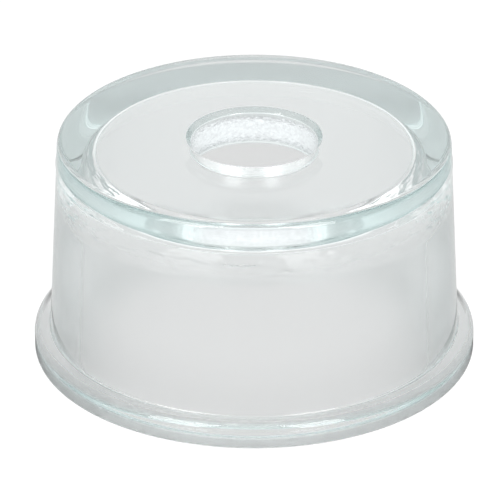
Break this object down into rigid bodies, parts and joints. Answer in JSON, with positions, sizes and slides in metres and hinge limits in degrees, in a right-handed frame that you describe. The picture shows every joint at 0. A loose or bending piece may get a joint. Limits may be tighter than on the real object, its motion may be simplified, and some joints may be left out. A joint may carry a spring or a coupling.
{
  "type": "glass filter bowl",
  "caption": "Thick pressed-glass filter bowl with an outward rim flange and a ground centre bore through its base.",
  "frame": {"origin": "centre of the rim plane, which the bowl stands on when it is upside down", "axes": "+Z along the bowl's axis, from the open rim to the base face with the bore"},
  "size_m": [0.086, 0.086, 0.045],
  "materials": {
    "glass": "polished pressed glass, with a ground bore and a fine satin skin inside the cavity"
  },
  "bodies": {
    "root": {"glass_bowl": "glass"}
  },
  "joints": []
}
